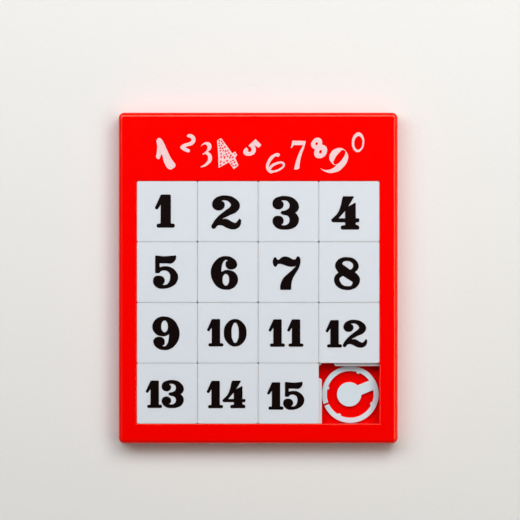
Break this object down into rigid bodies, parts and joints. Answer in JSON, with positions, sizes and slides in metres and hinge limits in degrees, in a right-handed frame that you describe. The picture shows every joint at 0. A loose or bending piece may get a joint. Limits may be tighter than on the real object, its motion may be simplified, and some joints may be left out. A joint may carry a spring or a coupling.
{
  "type": "sliding tile puzzle",
  "caption": "Flat tray with a header panel and a square board of numbered tiles, joined by tongue and groove, that slide into one free cell, which holds a loose split spacer ring.",
  "frame": {"origin": "middle of the tray's outline, on its back face", "axes": "the puzzle lies on its back: +X to the right of its face, +Y up its face towards the header panel, +Z out of its face towards the player"},
  "size_m": [0.106, 0.1256, 0.008],
  "materials": {
    "red_frame": "gloss",
    "red_floor": "satin",
    "white_tile": "satin",
    "white_spacer": "satin",
    "black_ink": "satin",
    "white_ink": "satin"
  },
  "bodies": {
    "tray": {"front_frame": "red_frame", "back_plate": "red_floor"},
    "spacer_ring": {"spacer_ring": "white_spacer"},
    "tile_01": {"tile_01": "white_tile"},
    "tile_02": {"tile_02": "white_tile"},
    "tile_03": {"tile_03": "white_tile"},
    "tile_04": {"tile_04": "white_tile"},
    "tile_05": {"tile_05": "white_tile"},
    "tile_06": {"tile_06": "white_tile"},
    "tile_07": {"tile_07": "white_tile"},
    "tile_08": {"tile_08": "white_tile"},
    "tile_09": {"tile_09": "white_tile"},
    "tile_10": {"tile_10": "white_tile"},
    "tile_11": {"tile_11": "white_tile"},
    "tile_12": {"tile_12": "white_tile"},
    "tile_13": {"tile_13": "white_tile"},
    "tile_14": {"tile_14": "white_tile"},
    "tile_15": {"tile_15": "white_tile"}
  },
  "joints": [
    {"name": "spacer_lift", "type": "slide", "parent": "tray", "child": "spacer_ring", "axis": [0, 0, 1], "range_m": [0, 0.015]},
    {"name": "tile_01_play", "type": "slide", "parent": "tray", "child": "tile_01", "axis": [1, 0, 0], "range_m": [-0.00003, 0.00003]},
    {"name": "tile_02_play", "type": "slide", "parent": "tray", "child": "tile_02", "axis": [1, 0, 0], "range_m": [-0.00003, 0.00003]},
    {"name": "tile_03_play", "type": "slide", "parent": "tray", "child": "tile_03", "axis": [1, 0, 0], "range_m": [-0.00003, 0.00003]},
    {"name": "tile_04_slide", "type": "slide", "parent": "tray", "child": "tile_04", "axis": [0, 1, 0], "range_m": [-0.023, 0]},
    {"name": "tile_05_play", "type": "slide", "parent": "tray", "child": "tile_05", "axis": [1, 0, 0], "range_m": [-0.00003, 0.00003]},
    {"name": "tile_06_play", "type": "slide", "parent": "tray", "child": "tile_06", "axis": [1, 0, 0], "range_m": [-0.00003, 0.00003]},
    {"name": "tile_07_play", "type": "slide", "parent": "tray", "child": "tile_07", "axis": [1, 0, 0], "range_m": [-0.00003, 0.00003]},
    {"name": "tile_08_slide", "type": "slide", "parent": "tray", "child": "tile_08", "axis": [0, 1, 0], "range_m": [-0.023, 0]},
    {"name": "tile_09_play", "type": "slide", "parent": "tray", "child": "tile_09", "axis": [1, 0, 0], "range_m": [-0.00003, 0.00003]},
    {"name": "tile_10_play", "type": "slide", "parent": "tray", "child": "tile_10", "axis": [1, 0, 0], "range_m": [-0.00003, 0.00003]},
    {"name": "tile_11_play", "type": "slide", "parent": "tray", "child": "tile_11", "axis": [1, 0, 0], "range_m": [-0.00003, 0.00003]},
    {"name": "tile_12_slide", "type": "slide", "parent": "tray", "child": "tile_12", "axis": [0, 1, 0], "range_m": [-0.023, 0]},
    {"name": "tile_13_slide", "type": "slide", "parent": "tray", "child": "tile_13", "axis": [1, 0, 0], "range_m": [0, 0.023]},
    {"name": "tile_14_slide", "type": "slide", "parent": "tray", "child": "tile_14", "axis": [1, 0, 0], "range_m": [0, 0.023]},
    {"name": "tile_15_slide", "type": "slide", "parent": "tray", "child": "tile_15", "axis": [1, 0, 0], "range_m": [0, 0.023]}
  ],
  "couplings": [
    {"joint": "tile_14_slide", "follows": "tile_13_slide", "ratio": 1},
    {"joint": "tile_15_slide", "follows": "tile_13_slide", "ratio": 1},
    {"joint": "tile_08_slide", "follows": "tile_04_slide", "ratio": 1},
    {"joint": "tile_12_slide", "follows": "tile_04_slide", "ratio": 1}
  ]
}
